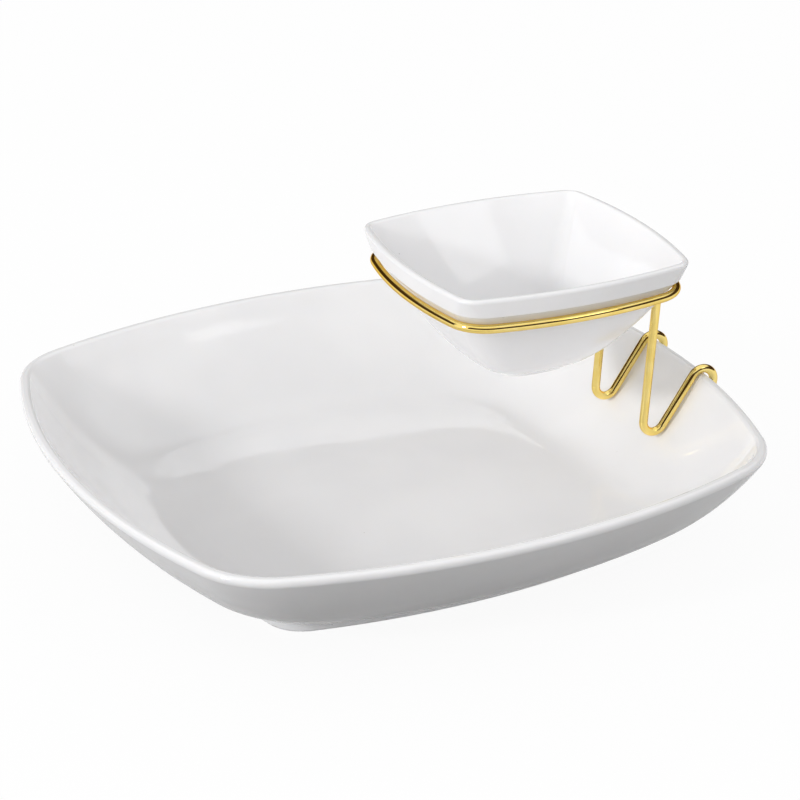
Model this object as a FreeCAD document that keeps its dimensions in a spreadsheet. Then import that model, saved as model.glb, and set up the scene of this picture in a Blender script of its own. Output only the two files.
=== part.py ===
import FreeCAD, Part

import math
import os

import Sketcher

# A chip and dip server: a square platter with bowed sides, and a small dip bowl that drops into
# a wire ring. Two bent wires carry the ring and hook over the platter's rim on its +X side.
# The platter stands on its foot ring at z = 0. All sizes are in millimetres and degrees.

DRIVING_SIZES = [
    # Platter
    ("platter_half_width", 152.5, "middle of the platter to the middle of one side, at the rim"),
    ("platter_side_radius", 333, "radius of the bowed sides at the rim"),
    ("platter_corner_radius", 41.5, "radius of the rounded corners at the rim"),
    ("platter_height", 51, "table to the top of the lip"),
    ("platter_lip", 4.2, "thickness of the lip"),
    ("platter_lip_height", 3, "height of the upright part of the lip"),
    ("platter_lip_round", 1.8, "rounding of the lip's two edges"),
    ("platter_floor_half", 90, "half width of the flat floor"),
    ("platter_floor_side", 278, "radius of the bowed sides at the floor"),
    ("platter_floor_corner", 56, "radius of the rounded corners at the floor"),
    ("platter_knee_half", 125.5, "how far out the flat floor would run to meet the wall's top slope"),
    ("platter_floor_thickness", 4, "thickness of the floor"),
    ("platter_foot_reach", 11.8, "how far the foot ring reaches past the flat floor"),
    ("platter_foot_side", 335, "radius of the foot ring's bowed sides"),
    ("platter_foot_corner", 18.8, "radius of the foot ring's corners"),
    ("platter_foot_width", 5, "width of the foot ring's tread"),
    ("platter_foot_height", 3.5, "height of the foot ring below the floor"),
    ("platter_foot_round", 1, "rounding of the foot ring's edges"),
    # Dip bowl
    ("bowl_half_width", 62.1, "middle of the bowl to the middle of one side, at the rim"),
    ("bowl_side_radius", 236, "radius of the bowed sides at the rim"),
    ("bowl_corner_radius", 9, "radius of the rounded corners at the rim"),
    ("bowl_height", 57.5, "foot to the top of the lip"),
    ("bowl_lip", 3.2, "thickness of the lip"),
    ("bowl_lip_round", 1.3, "rounding of the lip's two edges"),
    ("bowl_band_height", 9, "height of the band below the lip"),
    ("bowl_band_taper", 1.8, "how much the band narrows, per side, down to the step"),
    ("bowl_band_side", 212, "radius of the bowed sides at the band's lower edge"),
    ("bowl_band_corner", 16, "radius of the rounded corners at the band's lower edge"),
    ("bowl_step", 0.8, "width of the step under the band"),
    ("bowl_floor_half", 16, "half width of the flat floor"),
    ("bowl_floor_side", 45, "radius of the bowed sides at the floor"),
    ("bowl_floor_corner", 13, "radius of the rounded corners at the floor"),
    ("bowl_knee_half", 32, "how far out the flat underside would run to meet the wall's top slope"),
    ("bowl_inner_knee_half", 33, "the same for the inside of the wall"),
    ("bowl_floor_thickness", 4, "thickness of the floor"),
    ("bowl_foot_reach", 1.5, "how far the foot ring reaches past the flat floor"),
    ("bowl_foot_side", 60, "radius of the foot ring's bowed sides"),
    ("bowl_foot_corner", 10, "radius of the foot ring's corners"),
    ("bowl_foot_width", 3, "width of the foot ring's tread"),
    ("bowl_foot_height", 1.8, "height of the foot ring below the floor"),
    ("bowl_foot_round", 0.6, "rounding of the foot ring's edges"),
    # Wire rack
    ("wire_radius", 2, "radius of the round wire"),
    ("wire_end_round", 1.2, "rounding of the wires' cut ends"),
    ("seat_depth", 14.5, "top of the bowl's lip down to the middle of the ring's wire"),
    ("ring_height", 107, "table to the middle of the ring"),
    ("ring_inset", 85, "middle of the platter's side to the middle of the ring"),
    ("rack_offset", -14.1, "how far along the rim the rack hangs from the middle of the side"),
    ("hook_spacing", 46.4, "distance between the two hangers"),
    ("bend_radius", 5.6, "radius of the U-bend"),
    ("bend_rest", 0.66, "where the U-bend rests on the platter's inner wall, as a part of its curve"),
    ("hook_radius", 6.1, "radius of the hook over the rim"),
    ("hook_lean", 30, "direction from the lip's inner edge to the middle of the hook, off straight down"),
    ("hook_end_angle", 100, "direction of the hook's end, below level"),
    ("hook_tail", 4, "straight end of the hook"),
    # Clearances
    ("seat_clearance", 0.45, "gap between the bowl's wall and the ring"),
    ("hook_clearance", 0.35, "gap between the hooks and the platter's lip"),
    ("bend_clearance", 0.5, "gap between the U-bends and the platter's wall"),
]

DERIVED_SIZES = [
    # The platter's wall ends under its upright lip; inside, its slope sets how the lip rounds off.
    ("platter_wall_top", "=platter_height - platter_lip_height"),
    ("platter_lip_blend", "=2 * (platter_lip_height - platter_lip_round)"),
    ("platter_foot_half", "=platter_floor_half + platter_foot_reach"),
    ("platter_floor_top", "=platter_foot_height + platter_floor_thickness"),
    ("platter_mouth_half", "=platter_half_width - platter_lip"),
    ("platter_mouth_side", "=platter_side_radius - platter_lip"),
    ("platter_mouth_corner", "=platter_corner_radius - platter_lip"),
    ("inner_rise", "=platter_height - platter_floor_top"),
    ("inner_run", "=platter_mouth_half - platter_knee_half"),
    ("inner_slope", "=atan(inner_rise / inner_run)"),
    # The bowl's body runs up to the step under the band.
    ("bowl_foot_half", "=bowl_floor_half + bowl_foot_reach"),
    ("bowl_floor_top", "=bowl_foot_height + bowl_floor_thickness"),
    ("bowl_mouth_half", "=bowl_half_width - bowl_lip"),
    ("bowl_mouth_side", "=bowl_side_radius - bowl_lip"),
    ("bowl_mouth_corner", "=bowl_corner_radius - bowl_lip"),
    ("body_top", "=bowl_height - bowl_band_height"),
    ("band_foot_half", "=bowl_half_width - bowl_band_taper"),
    ("body_top_half", "=band_foot_half - bowl_step"),
    ("body_top_side", "=bowl_band_side - bowl_step"),
    ("body_top_corner", "=bowl_band_corner - bowl_step"),
    ("bowl_step_round", "=0.4 * bowl_step"),
    # Body section level with the ring: its half width, and the sine of the wall's slope there.
    ("seat_height", "=bowl_height - seat_depth"),
    ("body_rise", "=body_top - bowl_foot_height"),
    ("seat_part", "=sqrt((seat_height - bowl_foot_height) / body_rise)"),
    ("seat_half", "=(1 - seat_part)^2 * bowl_floor_half"
                  " + 2 * seat_part * (1 - seat_part) * bowl_knee_half + seat_part^2 * body_top_half"),
    ("seat_out", "=(1 - seat_part) * (bowl_knee_half - bowl_floor_half)"
                 " + seat_part * (body_top_half - bowl_knee_half)"),
    ("seat_up", "=seat_part * body_rise"),
    ("seat_sine", "=seat_up / sqrt(seat_out^2 + seat_up^2)"),
    # The ring's centreline is the body's outline at that height, moved out.
    ("ring_offset", "=(wire_radius + seat_clearance) / seat_sine"),
    ("ring_half", "=seat_half + ring_offset"),
    ("seat_share", "=(seat_half - bowl_floor_half) / (body_top_half - bowl_floor_half)"),
    ("seat_side", "=bowl_floor_side + (body_top_side - bowl_floor_side) * seat_share"),
    ("seat_corner", "=bowl_floor_corner + (body_top_corner - bowl_floor_corner) * seat_share"),
    ("ring_side_radius", "=seat_side + ring_offset"),
    ("ring_corner_radius", "=seat_corner + ring_offset"),
    # The rack hangs on the bowed +X side, so it is turned about the centre of that side's arc.
    ("arc_centre", "=platter_half_width - platter_side_radius"),
    ("rack_turn", "=asin(rack_offset / platter_side_radius)"),
    # Where each hanger starts on the ring, before that turn.
    ("leg_spread", "=hook_spacing / 2"),
    ("ring_reach", "=ring_half - ring_side_radius + sqrt(ring_side_radius^2 - leg_spread^2)"),
    ("ring_out", "=platter_half_width - ring_inset"),
    ("leg_top_out", "=ring_out + ring_reach"),
    # The hook bears on the rounding of the lip's inner edge.
    ("mouth_out", "=arc_centre + sqrt(platter_side_radius^2 - leg_spread^2) - platter_lip"),
    ("edge_out", "=mouth_out + platter_lip_round * tan(inner_slope / 2)"),
    ("hook_to_edge", "=hook_radius - wire_radius - hook_clearance - platter_lip_round"),
    ("hook_out", "=edge_out + hook_to_edge * sin(hook_lean)"),
    ("hook_height", "=platter_height - platter_lip_round - hook_to_edge * cos(hook_lean)"),
    # The U-bend rests on the inner wall: the wall's place and slope there, where a hanger is.
    ("rest_half", "=(1 - bend_rest)^2 * platter_floor_half"
                  " + 2 * bend_rest * (1 - bend_rest) * platter_knee_half"
                  " + bend_rest^2 * platter_mouth_half"),
    ("rest_share", "=(rest_half - platter_floor_half) / (platter_mouth_half - platter_floor_half)"),
    ("rest_side_radius", "=platter_floor_side + (platter_mouth_side - platter_floor_side) * rest_share"),
    ("rest_out", "=rest_half - rest_side_radius + sqrt(rest_side_radius^2 - leg_spread^2)"),
    ("rest_height", "=platter_floor_top + bend_rest^2 * inner_rise"),
    ("rest_run", "=(1 - bend_rest) * (platter_knee_half - platter_floor_half) + bend_rest * inner_run"),
    ("rest_slope", "=atan(bend_rest * inner_rise / rest_run)"),
    ("bend_off_wall", "=bend_radius + wire_radius + bend_clearance"),
    ("bend_out", "=rest_out - bend_off_wall * sin(rest_slope)"),
    ("bend_height", "=rest_height + bend_off_wall * cos(rest_slope)"),
    # The leg's line from the ring and the rising line onto the hook both touch the U-bend's arc.
    ("leg_run", "=bend_out - leg_top_out"),
    ("leg_drop", "=ring_height - bend_height"),
    ("leg_reach", "=sqrt(leg_run^2 + leg_drop^2)"),
    ("leg_length", "=sqrt(leg_reach^2 - bend_radius^2)"),
    ("leg_slant", "=(asin(bend_radius / leg_reach) - atan(leg_run / leg_drop)) / 1deg"),
    ("rise_run", "=hook_out - bend_out"),
    ("rise_climb", "=hook_height - bend_height"),
    ("rise_reach", "=sqrt(rise_run^2 + rise_climb^2)"),
    ("rise_length", "=sqrt(rise_reach^2 - (hook_radius + bend_radius)^2)"),
    ("rise_angle", "=(atan(rise_climb / rise_run)"
                   " + asin((hook_radius + bend_radius) / rise_reach)) / 1deg"),
    # Everything shifts so that the whole server is centred over the origin.
    ("hook_reach", "=arc_centre + (hook_out + hook_radius + wire_radius - arc_centre) * cos(rack_turn)"
                   " + leg_spread * sin(abs(rack_turn))"),
    ("centre_shift", "=(platter_half_width - hook_reach) / 2"),
]

# Outlines spread up each curved wall, not counting the first
WALL_STEPS = 5

doc = FreeCAD.newDocument("chip_and_dip_server")
sizes = doc.addObject("Spreadsheet::Sheet", "sizes")


def fill_sheet():
    row = 1
    for alias, number, meaning in DRIVING_SIZES:
        sizes.set(f"A{row}", alias)
        sizes.set(f"B{row}", str(number))
        sizes.set(f"C{row}", meaning)
        sizes.setAlias(f"B{row}", alias)
        row += 1
    for alias, formula in DERIVED_SIZES:
        sizes.set(f"A{row}", alias)
        sizes.set(f"B{row}", formula)
        sizes.setAlias(f"B{row}", alias)
        row += 1
    doc.recompute()


def value(formula):
    """The number a formula gives now."""
    result = sizes.evalExpression(formula)
    return float(getattr(result, "Value", result))


def size(alias):
    return f"sizes.{alias}"


def on_curve(start, knee, end, part):
    """Formula for a point on the curve that leaves start toward knee and reaches end from knee."""
    return f"({(1 - part) ** 2} * {start} + {2 * part * (1 - part)} * {knee} + {part ** 2} * {end})"


def origin_plane(body, role):
    for feature in body.Origin.OriginFeatures:
        if feature.Role == role:
            return feature
    raise ValueError(role)


def new_body(name):
    body = doc.addObject("PartDesign::Body", name)
    body.Label = name
    return body


def new_sketch(body, name, role, height="0"):
    """An empty sketch on an origin plane, raised by the height formula."""
    sketch = body.newObject("Sketcher::SketchObject", name)
    sketch.AttachmentSupport = (origin_plane(body, role), [""])
    sketch.MapMode = "FlatFace"
    sketch.setExpression("AttachmentOffset.Base.z", height)
    return sketch


def add_bowed_square(sketch, half, side, corner):
    """Four bowed sides joined by four corner arcs, all tangent: half width and two radii."""
    side_radius = value(side)
    corner_radius = value(corner)
    past_middle = side_radius - value(half)
    centre_gap = side_radius - corner_radius
    corner_centre = (math.sqrt(2 * centre_gap ** 2 - past_middle ** 2) - past_middle) / 2
    half_turn = math.atan2(corner_centre, corner_centre + past_middle)
    up = FreeCAD.Vector(0, 0, 1)
    arcs = []
    for quarter in range(4):
        facing = quarter * math.pi / 2
        diagonal = facing + math.pi / 4
        side_centre = FreeCAD.Vector(-past_middle * math.cos(facing), -past_middle * math.sin(facing), 0)
        reach = corner_centre * math.sqrt(2)
        turn_centre = FreeCAD.Vector(reach * math.cos(diagonal), reach * math.sin(diagonal), 0)
        side_circle = Part.Circle(side_centre, up, side_radius)
        corner_circle = Part.Circle(turn_centre, up, corner_radius)
        side_end = facing + half_turn
        next_side = facing + math.pi / 2 - half_turn
        arcs.append(Part.ArcOfCircle(side_circle, facing - half_turn, side_end))
        arcs.append(Part.ArcOfCircle(corner_circle, side_end, next_side))
    sketch.addGeometry(arcs, False)
    for number in range(8):
        sketch.addConstraint(Sketcher.Constraint("Tangent", number, 2, (number + 1) % 8, 1))
    for quarter in range(4):
        axis = -1 if quarter % 2 == 0 else -2
        sketch.addConstraint(Sketcher.Constraint("PointOnObject", 2 * quarter, 3, axis))
    for quarter in range(1, 4):
        sketch.addConstraint(Sketcher.Constraint("Equal", 0, 2 * quarter))
        sketch.addConstraint(Sketcher.Constraint("Equal", 1, 2 * quarter + 1))
    driven = [
        ("Radius", (0,), side_radius, "side", side),
        ("Radius", (1,), corner_radius, "corner", corner),
        ("DistanceX", (0, 3, -1, 1), past_middle, "right", f"{side} - {half}"),
        ("DistanceY", (2, 3, -1, 1), past_middle, "back", f"{side} - {half}"),
        ("DistanceX", (-1, 1, 4, 3), past_middle, "left", f"{side} - {half}"),
        ("DistanceY", (-1, 1, 6, 3), past_middle, "front", f"{side} - {half}"),
    ]
    for kind, places, now, name, formula in driven:
        index = sketch.addConstraint(Sketcher.Constraint(kind, *places, now))
        sketch.renameConstraint(index, name)
        sketch.setExpression("Constraints." + name, formula)


def bowed_edge(half, side, corner):
    """A bowed square's half width, side radius and corner radius, from the names of the sizes."""
    return size(half), size(side), size(corner)


def outline(body, name, edge, height):
    """A sketch of one bowed square, raised by the height formula."""
    sketch = new_sketch(body, name, "XY_Plane", height)
    add_bowed_square(sketch, *edge)
    return sketch


def wall_outlines(body, name, bottom, knee, top, heights):
    """Outlines up a wall that leaves the floor almost level and steepens to its top.

    Its radii pass evenly from the bottom edge's to the top edge's as the wall widens.
    """
    low_half, low_side, low_corner = bottom
    high_half, high_side, high_corner = top
    outlines = []
    for step in range(WALL_STEPS + 1):
        part = step / WALL_STEPS
        half = on_curve(low_half, knee, high_half, part)
        share = f"({half} - {low_half}) / ({high_half} - {low_half})"
        side = f"({low_side} + ({high_side} - {low_side}) * {share})"
        corner = f"({low_corner} + ({high_corner} - {low_corner}) * {share})"
        height = on_curve(*heights, part)
        outlines.append(outline(body, f"{name}_{step}", (half, side, corner), height))
    return outlines


def loft(body, kind, name, outlines):
    feature = body.newObject("PartDesign::" + kind, name)
    feature.Profile = outlines[0]
    feature.Sections = outlines[1:]
    doc.recompute()
    return feature


def pad(body, name, sketch, length):
    feature = body.newObject("PartDesign::Pad", name)
    feature.Profile = sketch
    feature.setExpression("Length", length)
    doc.recompute()
    return feature


def foot_outline(body, name, piece, inset):
    """The foot's outline, moved in by the inset; it is straighter sided than the wall above it."""
    endings = ("_foot_half", "_foot_side", "_foot_corner")
    edge = [f"({size(piece + ending)} - {inset})" for ending in endings]
    return outline(body, name, edge, "0")


def foot_ring(body, piece):
    """The raised tread under a piece: a block run up into the floor, hollowed from below."""
    block = foot_outline(body, piece + "_foot_outline", piece, "0")
    pad(body, piece + "_foot", block, size(piece + "_floor_top"))
    recess = foot_outline(body, piece + "_recess_outline", piece, size(piece + "_foot_width"))
    feature = body.newObject("PartDesign::Pocket", piece + "_foot_recess")
    feature.Profile = recess
    feature.Reversed = True
    feature.setExpression("Length", size(piece + "_foot_height"))
    doc.recompute()


def round_edges(body, name, radius, height):
    """Fillet all the level edges at one height, given as a formula."""
    level = value(height)
    base = body.Tip
    names = []
    for number, edge in enumerate(base.Shape.Edges, start=1):
        box = edge.BoundBox
        if abs(box.ZMin - level) < 0.01 and abs(box.ZMax - level) < 0.01:
            names.append(f"Edge{number}")
    feature = body.newObject("PartDesign::Fillet", name)
    feature.Base = (base, names)
    feature.setExpression("Radius", radius)
    doc.recompute()
    return feature


def pipe(body, name, path, radius, profile_role, profile_centre="0"):
    """Round wire along a path that leaves the profile's plane at profile_centre."""
    profile = new_sketch(body, name + "_section", profile_role)
    centre = FreeCAD.Vector(value(profile_centre), 0, 0)
    circle = Part.Circle(centre, FreeCAD.Vector(0, 0, 1), value(radius))
    profile.addGeometry(circle, False)
    profile.addConstraint(Sketcher.Constraint("PointOnObject", 0, 3, -1))
    driven = [("Radius", (0,), value(radius), "wire", radius)]
    if profile_centre == "0":
        profile.addConstraint(Sketcher.Constraint("PointOnObject", 0, 3, -2))
    else:
        driven.append(("DistanceX", (-1, 1, 0, 3), value(profile_centre), "reach", profile_centre))
    for kind, places, now, label, formula in driven:
        index = profile.addConstraint(Sketcher.Constraint(kind, *places, now))
        profile.renameConstraint(index, label)
        profile.setExpression("Constraints." + label, formula)
    feature = body.newObject("PartDesign::AdditivePipe", name)
    feature.Profile = profile
    feature.Spine = (path, [])
    doc.recompute()
    return feature


def place(body, out, along, height, lean="0"):
    """Put a rack piece out from the platter's middle, along its rim and up, then turn and lean it."""
    turn = size("rack_turn")
    centre = size("arc_centre")
    reach = f"({out} - {centre})"
    x = f"{size('centre_shift')} + {centre} + {reach} * cos({turn}) - {along} * sin({turn})"
    y = f"{reach} * sin({turn}) + {along} * cos({turn})"
    where = f"vector({x}; {y}; {height}); rotation({turn}; {lean}; 0)"
    body.setExpression("Placement", f"placement({where})")


def make_platter():
    body = new_body("platter")
    floor = bowed_edge("platter_floor_half", "platter_floor_side", "platter_floor_corner")
    rim = bowed_edge("platter_half_width", "platter_side_radius", "platter_corner_radius")
    mouth = bowed_edge("platter_mouth_half", "platter_mouth_side", "platter_mouth_corner")
    knee = size("platter_knee_half")
    underside = size("platter_foot_height")
    floor_top = size("platter_floor_top")
    wall_top = size("platter_wall_top")
    top = size("platter_height")
    wall = wall_outlines(body, "platter_wall", floor, knee, rim, [underside, underside, wall_top])
    loft(body, "AdditiveLoft", "platter_bowed_wall", wall)
    lip = outline(body, "lip_outline", rim, wall_top)
    pad(body, "platter_upright_lip", lip, size("platter_lip_height"))
    round_edges(body, "platter_lip_blending", size("platter_lip_blend"), wall_top)
    foot_ring(body, "platter")
    hollow = wall_outlines(body, "platter_hollow", floor, knee, mouth, [floor_top, floor_top, top])
    loft(body, "SubtractiveLoft", "platter_inside", hollow)
    round_edges(body, "platter_lip_rounding", size("platter_lip_round"), top)
    round_edges(body, "platter_foot_rounding", size("platter_foot_round"), "0")
    body.setExpression("Placement", f"placement(vector({size('centre_shift')}; 0; 0); rotation(0; 0; 0))")
    return body


def make_bowl():
    body = new_body("dip_bowl")
    floor = bowed_edge("bowl_floor_half", "bowl_floor_side", "bowl_floor_corner")
    body_top_edge = bowed_edge("body_top_half", "body_top_side", "body_top_corner")
    band_foot = bowed_edge("band_foot_half", "bowl_band_side", "bowl_band_corner")
    rim = bowed_edge("bowl_half_width", "bowl_side_radius", "bowl_corner_radius")
    mouth = bowed_edge("bowl_mouth_half", "bowl_mouth_side", "bowl_mouth_corner")
    knee = size("bowl_knee_half")
    inner_knee = size("bowl_inner_knee_half")
    underside = size("bowl_foot_height")
    floor_top = size("bowl_floor_top")
    body_top = size("body_top")
    top = size("bowl_height")
    wall = wall_outlines(body, "bowl_wall", floor, knee, body_top_edge, [underside, underside, body_top])
    loft(body, "AdditiveLoft", "bowl_body", wall)
    band = [outline(body, "band_foot", band_foot, body_top), outline(body, "band_rim", rim, top)]
    loft(body, "AdditiveLoft", "bowl_band", band)
    round_edges(body, "bowl_step_rounding", size("bowl_step_round"), body_top)
    foot_ring(body, "bowl")
    hollow = wall_outlines(body, "bowl_hollow", floor, inner_knee, mouth, [floor_top, floor_top, top])
    loft(body, "SubtractiveLoft", "bowl_inside", hollow)
    round_edges(body, "bowl_lip_rounding", size("bowl_lip_round"), top)
    round_edges(body, "bowl_foot_rounding", size("bowl_foot_round"), "0")
    place(body, size("ring_out"), "0", f"({size('ring_height')} - {size('seat_height')})")
    return body


def make_ring():
    body = new_body("bowl_ring")
    ring = bowed_edge("ring_half", "ring_side_radius", "ring_corner_radius")
    path = outline(body, "ring_path", ring, "0")
    pipe(body, "ring_wire", path, size("wire_radius"), "XZ_Plane", size("ring_half"))
    place(body, size("ring_out"), "0", size("ring_height"))
    return body


def add_hanger_path(sketch):
    """Down the leg, round the U-bend, up the wall, over the hook; the leg's top is the origin."""
    leg = value(size("leg_length"))
    bend = value(size("bend_radius"))
    rise = value(size("rise_length"))
    hook = value(size("hook_radius"))
    tail = value(size("hook_tail"))
    climb = math.radians(value(f"{size('rise_angle')} + {size('leg_slant')}"))
    fall = math.radians(value(f"{size('leg_slant')} - {size('hook_end_angle')}"))
    up = FreeCAD.Vector(0, 0, 1)
    rising = FreeCAD.Vector(math.cos(climb), math.sin(climb), 0)
    right_of_rise = FreeCAD.Vector(math.sin(climb), -math.cos(climb), 0)
    falling = FreeCAD.Vector(math.cos(fall), math.sin(fall), 0)
    left_of_fall = FreeCAD.Vector(-math.sin(fall), math.cos(fall), 0)
    leg_foot = FreeCAD.Vector(0, -leg, 0)
    bend_centre = FreeCAD.Vector(bend, -leg, 0)
    rise_foot = bend_centre + right_of_rise * bend
    rise_top = rise_foot + rising * rise
    hook_centre = rise_top + right_of_rise * hook
    tail_top = hook_centre + left_of_fall * hook
    bend_arc = Part.ArcOfCircle(Part.Circle(bend_centre, up, bend), math.pi, climb + 1.5 * math.pi)
    hook_arc = Part.ArcOfCircle(Part.Circle(hook_centre, up, hook), fall + math.pi / 2, climb + math.pi / 2)
    lines_and_arcs = [
        Part.LineSegment(FreeCAD.Vector(0, 0, 0), leg_foot),
        bend_arc,
        Part.LineSegment(rise_foot, rise_top),
        hook_arc,
        Part.LineSegment(tail_top, tail_top + falling * tail),
    ]
    sketch.addGeometry(lines_and_arcs, False)
    sketch.addConstraint(Sketcher.Constraint("Coincident", 0, 1, -1, 1))
    sketch.addConstraint(Sketcher.Constraint("Vertical", 0))
    sketch.addConstraint(Sketcher.Constraint("Tangent", 0, 2, 1, 1))
    sketch.addConstraint(Sketcher.Constraint("Tangent", 1, 2, 2, 1))
    sketch.addConstraint(Sketcher.Constraint("Tangent", 2, 2, 3, 2))
    sketch.addConstraint(Sketcher.Constraint("Tangent", 3, 1, 4, 1))
    driven = [
        ("Distance", 0, leg, "leg", size("leg_length")),
        ("Radius", 1, bend, "bend", size("bend_radius")),
        ("Distance", 2, rise, "rise", size("rise_length")),
        ("Angle", 2, climb, "climb", f"{size('rise_angle')} + {size('leg_slant')}"),
        ("Radius", 3, hook, "hook", size("hook_radius")),
        ("Distance", 4, tail, "tail", size("hook_tail")),
        ("Angle", 4, fall, "fall", f"{size('leg_slant')} - {size('hook_end_angle')}"),
    ]
    for kind, edge, now, name, formula in driven:
        index = sketch.addConstraint(Sketcher.Constraint(kind, edge, now))
        sketch.renameConstraint(index, name)
        sketch.setExpression("Constraints." + name, formula)


def round_wire_ends(body, name, wire):
    """Round the rims of the wire's two flat cut ends."""
    names = []
    for face in wire.Shape.Faces:
        if isinstance(face.Surface, Part.Plane):
            for number, edge in enumerate(wire.Shape.Edges, start=1):
                if edge.isSame(face.Edges[0]):
                    names.append(f"Edge{number}")
    feature = body.newObject("PartDesign::Fillet", name)
    feature.Base = (wire, names)
    feature.setExpression("Radius", size("wire_end_round"))
    doc.recompute()


def make_hanger(name, along):
    body = new_body(name)
    path = new_sketch(body, name + "_path", "XZ_Plane")
    add_hanger_path(path)
    wire = pipe(body, name + "_wire", path, size("wire_radius"), "XY_Plane")
    round_wire_ends(body, name + "_ends", wire)
    place(body, size("leg_top_out"), along, size("ring_height"), size("leg_slant"))
    return body


fill_sheet()
parts = [
    make_platter(),
    make_bowl(),
    make_ring(),
    make_hanger("front_hanger", f"(-{size('leg_spread')})"),
    make_hanger("rear_hanger", size("leg_spread")),
]
doc.recompute()

for thing in doc.Objects:
    if "Invalid" in thing.State or "Error" in thing.State:
        raise RuntimeError(f"{thing.Name} failed: {thing.State}")
for part in parts:
    if part.Shape.isNull() or not part.Shape.isValid():
        raise RuntimeError(f"{part.Label} has no valid shape")

os.makedirs("parts", exist_ok=True)
for part in parts:
    part.Shape.exportStep(f"parts/{part.Label}.step")
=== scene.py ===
import math

import bpy
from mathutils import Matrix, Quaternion, Vector


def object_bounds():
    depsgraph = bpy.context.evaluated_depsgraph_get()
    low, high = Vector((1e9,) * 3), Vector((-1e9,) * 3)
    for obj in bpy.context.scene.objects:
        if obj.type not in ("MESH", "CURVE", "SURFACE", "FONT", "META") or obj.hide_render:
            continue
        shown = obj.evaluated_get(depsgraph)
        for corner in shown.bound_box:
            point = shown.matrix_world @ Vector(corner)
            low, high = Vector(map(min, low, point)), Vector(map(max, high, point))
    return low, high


# Looks of the chip and dip server: white glazed porcelain and polished gold-plated wire, on a
# white studio floor. Lengths are in metres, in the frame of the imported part.

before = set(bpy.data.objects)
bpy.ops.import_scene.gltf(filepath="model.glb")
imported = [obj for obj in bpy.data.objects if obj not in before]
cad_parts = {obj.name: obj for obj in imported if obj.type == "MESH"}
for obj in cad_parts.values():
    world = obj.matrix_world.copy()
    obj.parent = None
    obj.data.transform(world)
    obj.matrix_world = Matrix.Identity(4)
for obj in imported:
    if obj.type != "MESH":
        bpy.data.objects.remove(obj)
cad_low, cad_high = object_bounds()

MM = 0.001
PORCELAIN_NODES = ("platter", "dip_bowl")
WIRE_NODES = ("bowl_ring", "front_hanger", "rear_hanger")

# A pair of tones is the darker and the lighter one that noise blends, and a pair of
# roughnesses is the glossiest and the dullest. A range is where on the noise's scale of 0 to 1
# it turns from the first to the second. A relief is its spacing and its depth.
GLAZE_TONES = ((0.873, 0.87, 0.879), (0.903, 0.899, 0.906))
GLAZE_TONE_SPACING = 60 * MM
GLAZE_TONE_RANGE = (0.35, 0.65)
GLAZE_ROUGHNESS = (0.05, 0.11)
SMEAR_SPACING = 22 * MM
SMEAR_RANGE = (0.3, 0.7)
GLAZE_WAVES = (34 * MM, 0.35 * MM)
GLAZE_PEEL = (2.2 * MM, 0.006 * MM)
GLAZE_IOR = 1.52
GLAZE_SCATTER = 0.12
SCATTER_RADIUS = (3 * MM, 2.6 * MM, 2.2 * MM)

SPECK_COLOUR = (0.42, 0.38, 0.34)
SPECK_STRENGTH = 0.5
SPECK_SPACING = 14 * MM
# A speck is solid out to the first of these and gone past the second, in spacings
SPECK_RADII = (0.016, 0.026)
# A cell has a speck where its random number is past this range
SPECK_DRAW = (0.72, 0.74)
PINHOLE_DEPTH = 0.03 * MM

CLAY_TONES = ((0.74, 0.71, 0.66), (0.83, 0.81, 0.77))
CLAY_ROUGHNESS = 0.7
CLAY_GRAIN = (0.5 * MM, 0.12 * MM)
# How far above the foot's lowest point the bare clay ends and the glaze is whole, before the
# raggedness of that edge is added
CLAY_EDGE = (-0.1 * MM, 0.15 * MM)
RAGGED_EDGE = (4 * MM, 0.5 * MM)

GOLD_TONES = ((0.93, 0.71, 0.21), (0.97, 0.77, 0.28))
GOLD_TONE_SPACING = 9 * MM
GOLD_TONE_RANGE = (0.35, 0.7)
GOLD_EDGE = (0.8, 0.55, 0.25)
GOLD_ROUGHNESS = (0.03, 0.07)
HAZE_SPACING = 6 * MM
HAZE_RANGE = (0.3, 0.7)
GOLD_PEEL = (1.8 * MM, 0.003 * MM)
GOLD_SCRATCHES = (0.12 * MM, 0.0005 * MM)
SCUFF_COLOUR = (0.82, 0.6, 0.22)
SCUFF_STRENGTH = 0.25
SCUFF_ROUGHNESS = 0.1
SCUFF_SPACING = 1.6 * MM
SCUFF_RANGE = (0.62, 0.74)

CAMERA_TARGET = Vector((0.00925, 0.00498, 0.04945))
CAMERA_AZIMUTH = math.radians(-26.54)
CAMERA_ELEVATION = math.radians(23.79)
CAMERA_ROLL = math.radians(-0.63)
CAMERA_DISTANCE = 1.173
# The lens and the sensor are in millimetres
CAMERA_LENS = 115.5
SENSOR_WIDTH = 36

FLOOR_SIZE = 14
FLOOR_MOTTLE_SPACING = 1 / 3
FLOOR_TONES = ((0.94, 0.94, 0.94), (0.97, 0.97, 0.97))
# The floor as a source of bounced light
FLOOR_BOUNCE = (0.11, 0.11, 0.11)
# The share of even white in the floor's look, to the camera and in reflections; the rest is
# lit paper, which keeps the object's shadow
FLOOR_GLOW = 0.93
MIRRORED_GLOW = 0.25
# Strength of the world's light, level and from straight above
HORIZON_LIGHT = 1.54
ZENITH_LIGHT = 0.46
# Each softbox: its name, where it hangs, the length of its sides and its power in watts
SOFTBOXES = (
    ("left", (-2.2, -0.3, 0.95), 0.28, 19.3),
    ("front_right", (1.1, -1.8, 1.5), 0.65, 2.2),
)
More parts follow.
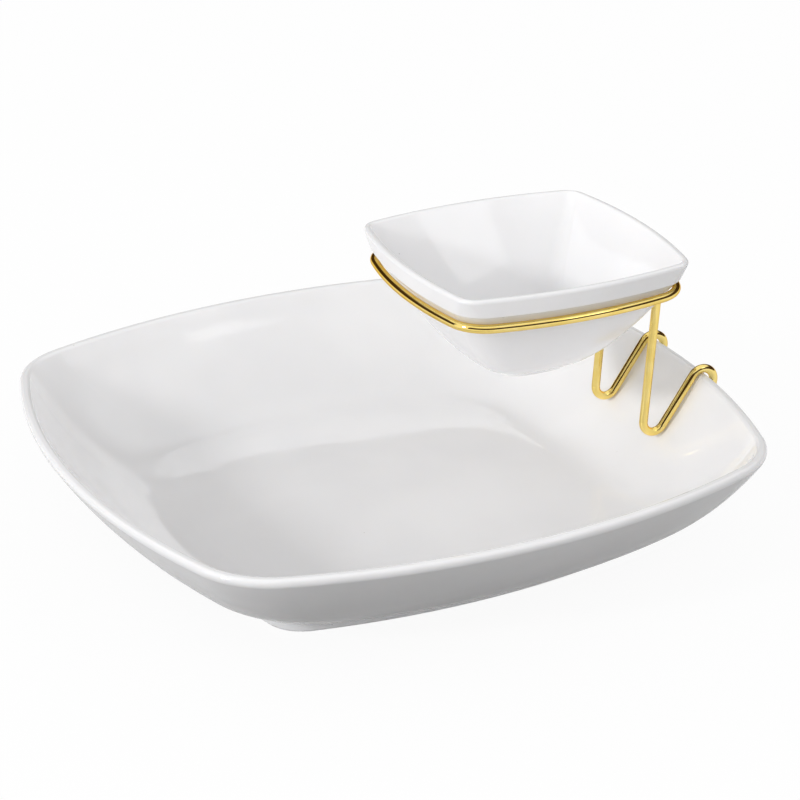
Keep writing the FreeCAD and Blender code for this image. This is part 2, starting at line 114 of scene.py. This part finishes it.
# The curtain's ends, in degrees from straight in front of the server toward its +X side
CURTAIN_ARC = (-70, 250)
CURTAIN_HEIGHTS = (0.1, 3)
CURTAIN_FADE = 1.3
CURTAIN_RADIUS = 3.2
CURTAIN_STEPS = 24
FELT_TONES = ((0.045, 0.02, 0.006), (0.065, 0.03, 0.01))
FELT_SPACING = 10 * MM
FELT_ROUGHNESS = 0.9

# The numbers of the Mix node's A, B and Result, whose names are the same for every kind of value
MIX_SOCKETS = {"RGBA": (6, 7, 2), "FLOAT": (2, 3, 0)}


class Nodes:
    """Adds shader nodes to a tree and wires them up."""

    def __init__(self, tree):
        self.tree = tree

    def add(self, kind, **settings):
        node = self.tree.nodes.new(kind)
        for name, value in settings.items():
            setattr(node, name, value)
        return node

    def feed(self, value, socket):
        """Gives a socket a number, a colour or another node's output."""
        if isinstance(value, (int, float)):
            socket.default_value = value
        elif isinstance(value, tuple):
            socket.default_value = (*value, 1)
        else:
            self.tree.links.new(value, socket)

    def position(self):
        return self.add("ShaderNodeTexCoord").outputs["Object"]

    def height(self, where):
        split = self.add("ShaderNodeSeparateXYZ")
        self.feed(where, split.inputs["Vector"])
        return split.outputs["Z"]

    def noise(self, where, wavelength, detail=2, roughness=0.5):
        """Smooth noise whose lumps are about one wavelength apart."""
        node = self.add("ShaderNodeTexNoise")
        self.feed(1 / wavelength, node.inputs["Scale"])
        self.feed(detail, node.inputs["Detail"])
        self.feed(roughness, node.inputs["Roughness"])
        self.feed(where, node.inputs["Vector"])
        return node.outputs["Fac"]

    def math(self, operation, first, second):
        node = self.add("ShaderNodeMath", operation=operation)
        self.feed(first, node.inputs[0])
        self.feed(second, node.inputs[1])
        return node.outputs["Value"]

    def ramp(self, value, low, high, to_low=0, to_high=1, shape="SMOOTHSTEP"):
        """Maps low..high onto to_low..to_high."""
        node = self.add("ShaderNodeMapRange", interpolation_type=shape)
        self.feed(low, node.inputs["From Min"])
        self.feed(high, node.inputs["From Max"])
        self.feed(to_low, node.inputs["To Min"])
        self.feed(to_high, node.inputs["To Max"])
        self.feed(value, node.inputs["Value"])
        return node.outputs["Result"]

    def mix(self, share, first, second, kind="RGBA"):
        """Blends two colours, or two plain values where the kind is FLOAT."""
        a, b, result = MIX_SOCKETS[kind]
        node = self.add("ShaderNodeMix", data_type=kind)
        self.feed(share, node.inputs["Factor"])
        self.feed(first, node.inputs[a])
        self.feed(second, node.inputs[b])
        return node.outputs[result]

    def bump(self, height, depth, under=None):
        """Raises the surface by up to depth where height is 1, on top of another bump."""
        node = self.add("ShaderNodeBump")
        self.feed(depth, node.inputs["Distance"])
        self.feed(height, node.inputs["Height"])
        if under is not None:
            self.feed(under, node.inputs["Normal"])
        return node.outputs["Normal"]

    def relief(self, where, spacing_and_depth, detail=1, under=None):
        """A bump of smooth noise."""
        spacing, depth = spacing_and_depth
        return self.bump(self.noise(where, spacing, detail), depth, under)

    def seen_directly(self, by_camera=1, by_mirror=1):
        """One value for camera rays and one for mirror and glass rays; bounced light gets 0."""
        path = self.add("ShaderNodeLightPath")
        total = self.math("MULTIPLY", path.outputs["Is Camera Ray"], by_camera)
        for name in ("Is Glossy Ray", "Is Transmission Ray"):
            mirrored = self.math("MULTIPLY", path.outputs[name], by_mirror)
            total = self.math("MAXIMUM", total, mirrored)
        return total


def new_material(name):
    """A material, a helper for its nodes, and the sockets of its shader."""
    material = bpy.data.materials.new(name)
    material.use_nodes = True
    tree = material.node_tree
    return material, Nodes(tree), tree.nodes["Principled BSDF"].inputs


def foot_level(node_name):
    """The height of a piece's lowest point at rest, in the frame as in its own mesh."""
    return min(vertex.co.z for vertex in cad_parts[node_name].data.vertices)


def speck_mask(nodes, where):
    """1 inside the iron specks: small dots, in about a quarter of the cells of a loose pattern."""
    cells = nodes.add("ShaderNodeTexVoronoi")
    nodes.feed(1 / SPECK_SPACING, cells.inputs["Scale"])
    nodes.feed(where, cells.inputs["Vector"])
    draw = nodes.add("ShaderNodeSeparateColor")
    nodes.feed(cells.outputs["Color"], draw.inputs["Color"])
    inside = nodes.ramp(cells.outputs["Distance"], *SPECK_RADII, 1, 0)
    chosen = nodes.ramp(draw.outputs["Red"], *SPECK_DRAW)
    return nodes.math("MULTIPLY", inside, chosen)


def porcelain(node_name):
    """Glossy white glaze with faint waves, pinholes and iron specks; the foot's tread is bare."""
    material, nodes, surface = new_material("porcelain_" + node_name)
    where = nodes.position()

    tone = nodes.ramp(nodes.noise(where, GLAZE_TONE_SPACING), *GLAZE_TONE_RANGE)
    speck = speck_mask(nodes, where)
    stain = nodes.math("MULTIPLY", speck, SPECK_STRENGTH)
    glaze = nodes.mix(stain, nodes.mix(tone, *GLAZE_TONES), SPECK_COLOUR)

    grain_spacing, grain_depth = CLAY_GRAIN
    grain = nodes.noise(where, grain_spacing, detail=3)
    ragged_spacing, ragged_depth = RAGGED_EDGE
    ragged = nodes.math("MULTIPLY", nodes.noise(where, ragged_spacing), ragged_depth)
    level = nodes.math("SUBTRACT", nodes.height(where), ragged)
    low_edge, high_edge = (foot_level(node_name) + above for above in CLAY_EDGE)
    bare = nodes.ramp(level, low_edge, high_edge, 1, 0)
    nodes.feed(nodes.mix(bare, glaze, nodes.mix(grain, *CLAY_TONES)), surface["Base Color"])

    smear = nodes.noise(where, SMEAR_SPACING, detail=4, roughness=0.6)
    polish = nodes.ramp(smear, *SMEAR_RANGE, *GLAZE_ROUGHNESS)
    nodes.feed(nodes.mix(bare, polish, CLAY_ROUGHNESS, "FLOAT"), surface["Roughness"])

    waves = nodes.relief(where, GLAZE_WAVES)
    peel = nodes.relief(where, GLAZE_PEEL, under=waves)
    pits = nodes.bump(nodes.math("MULTIPLY", speck, -1), PINHOLE_DEPTH, peel)
    gritty = nodes.bump(nodes.math("MULTIPLY", grain, bare), grain_depth, pits)
    nodes.feed(gritty, surface["Normal"])

    surface["IOR"].default_value = GLAZE_IOR
    surface["Subsurface Weight"].default_value = GLAZE_SCATTER
    surface["Subsurface Radius"].default_value = SCATTER_RADIUS
    surface["Subsurface Scale"].default_value = 1
    return material


def gold_wire():
    """Polished gold plate over drawn steel wire: thin spots, faint scuffs and a soft peel."""
    material, nodes, surface = new_material("gold_wire")
    where = nodes.position()

    tone = nodes.ramp(nodes.noise(where, GOLD_TONE_SPACING, detail=3), *GOLD_TONE_RANGE)
    scratched = nodes.noise(where, SCUFF_SPACING, detail=5, roughness=0.7)
    scuff = nodes.ramp(scratched, *SCUFF_RANGE)
    faint = nodes.math("MULTIPLY", scuff, SCUFF_STRENGTH)
    nodes.feed(nodes.mix(faint, nodes.mix(tone, *GOLD_TONES), SCUFF_COLOUR), surface["Base Color"])

    haze = nodes.ramp(nodes.noise(where, HAZE_SPACING), *HAZE_RANGE, *GOLD_ROUGHNESS)
    worn = nodes.math("ADD", haze, nodes.math("MULTIPLY", scuff, SCUFF_ROUGHNESS))
    nodes.feed(worn, surface["Roughness"])

    peel = nodes.relief(where, GOLD_PEEL)
    nodes.feed(nodes.relief(where, GOLD_SCRATCHES, detail=2, under=peel), surface["Normal"])

    surface["Metallic"].default_value = 1
    nodes.feed(GOLD_EDGE, surface["Specular Tint"])
    return material


def dress(node_name, material):
    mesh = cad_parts[node_name].data
    mesh.materials.clear()
    mesh.materials.append(material)


def lay_floor():
    """White paper with the object's soft shadow; only as a source of light is it dark."""
    bpy.ops.mesh.primitive_plane_add(size=FLOOR_SIZE, location=(0, 0, cad_low.z))
    floor = bpy.context.object
    floor.name = "floor"
    material = bpy.data.materials.new("studio_floor")
    material.use_nodes = True
    nodes = Nodes(material.node_tree)
    nodes.tree.nodes.clear()

    tint = nodes.mix(nodes.noise(nodes.position(), FLOOR_MOTTLE_SPACING), *FLOOR_TONES)
    paper = nodes.add("ShaderNodeBsdfDiffuse")
    nodes.feed(nodes.mix(nodes.seen_directly(), FLOOR_BOUNCE, tint), paper.inputs["Color"])
    glow = nodes.add("ShaderNodeEmission")
    either = nodes.add("ShaderNodeMixShader")
    nodes.feed(nodes.seen_directly(FLOOR_GLOW, MIRRORED_GLOW), either.inputs["Fac"])
    nodes.feed(paper.outputs["BSDF"], either.inputs[1])
    nodes.feed(glow.outputs["Emission"], either.inputs[2])
    nodes.feed(either.outputs["Shader"], nodes.add("ShaderNodeOutputMaterial").inputs["Surface"])

    floor.data.materials.append(material)


def light_world():
    """White to whatever looks at it; as a light it fades from the horizon up to the zenith."""
    world = bpy.data.worlds.new("studio")
    bpy.context.scene.world = world
    world.use_nodes = True
    nodes = Nodes(world.node_tree)
    background = world.node_tree.nodes["Background"].inputs
    nodes.feed((1, 1, 1), background["Color"])
    direction = nodes.add("ShaderNodeTexCoord").outputs["Generated"]
    light = nodes.ramp(nodes.height(direction), 0, 1, HORIZON_LIGHT, ZENITH_LIGHT, "LINEAR")
    nodes.feed(nodes.mix(nodes.seen_directly(), light, 1, "FLOAT"), background["Strength"])


def softbox(name, place, size, power):
    """A square area lamp turned toward the server."""
    lamp = bpy.data.lights.new(name, "AREA")
    lamp.shape = "SQUARE"
    lamp.size = size
    lamp.energy = power
    box = bpy.data.objects.new(name, lamp)
    box.location = place
    aim = Vector(place) - CAMERA_TARGET
    box.rotation_mode = "QUATERNION"
    box.rotation_quaternion = aim.to_track_quat("Z", "Y")
    bpy.context.scene.collection.objects.link(box)


def hang_dark_curtain():
    """A curtain round the studio, out of view, for the polished wire to mirror. It fades out
    toward its top, so that the glaze shows no hard edge of it."""
    first, last = (math.radians(angle) for angle in CURTAIN_ARC)
    bottom, top = CURTAIN_HEIGHTS
    corners = []
    for step in range(CURTAIN_STEPS + 1):
        angle = first + (last - first) * step / CURTAIN_STEPS
        across = CURTAIN_RADIUS * math.sin(angle)
        back = -CURTAIN_RADIUS * math.cos(angle)
        corners += [(across, back, bottom), (across, back, top)]
    panels = [(2 * step, 2 * step + 2, 2 * step + 3, 2 * step + 1) for step in range(CURTAIN_STEPS)]
    mesh = bpy.data.meshes.new("dark_curtain")
    mesh.from_pydata(corners, [], panels)
    curtain = bpy.data.objects.new("dark_curtain", mesh)
    curtain.visible_camera = False
    curtain.visible_diffuse = False
    curtain.visible_shadow = False
    bpy.context.scene.collection.objects.link(curtain)

    material, nodes, surface = new_material("dark_felt")
    where = nodes.position()
    nodes.feed(nodes.mix(nodes.noise(where, FELT_SPACING), *FELT_TONES), surface["Base Color"])
    sheer = nodes.ramp(nodes.height(where), top - CURTAIN_FADE, top, 1, 0)
    nodes.feed(sheer, surface["Alpha"])
    surface["Roughness"].default_value = FELT_ROUGHNESS
    mesh.materials.append(material)


def place_camera():
    flat = math.cos(CAMERA_ELEVATION)
    back = Vector((
        math.sin(CAMERA_AZIMUTH) * flat,
        -math.cos(CAMERA_AZIMUTH) * flat,
        math.sin(CAMERA_ELEVATION),
    ))
    lens = bpy.data.cameras.new("camera")
    lens.lens = CAMERA_LENS
    lens.sensor_width = SENSOR_WIDTH
    camera = bpy.data.objects.new("camera", lens)
    camera.location = CAMERA_TARGET + back * CAMERA_DISTANCE
    camera.rotation_mode = "QUATERNION"
    camera.rotation_quaternion = back.to_track_quat("Z", "Y") @ Quaternion((0, 0, 1), CAMERA_ROLL)
    bpy.context.scene.collection.objects.link(camera)
    bpy.context.scene.camera = camera


for node_name in PORCELAIN_NODES:
    dress(node_name, porcelain(node_name))
wire = gold_wire()
for node_name in WIRE_NODES:
    dress(node_name, wire)

lay_floor()
light_world()
for box in SOFTBOXES:
    softbox(*box)
hang_dark_curtain()
place_camera()
bpy.context.scene.view_settings.view_transform = "Standard"
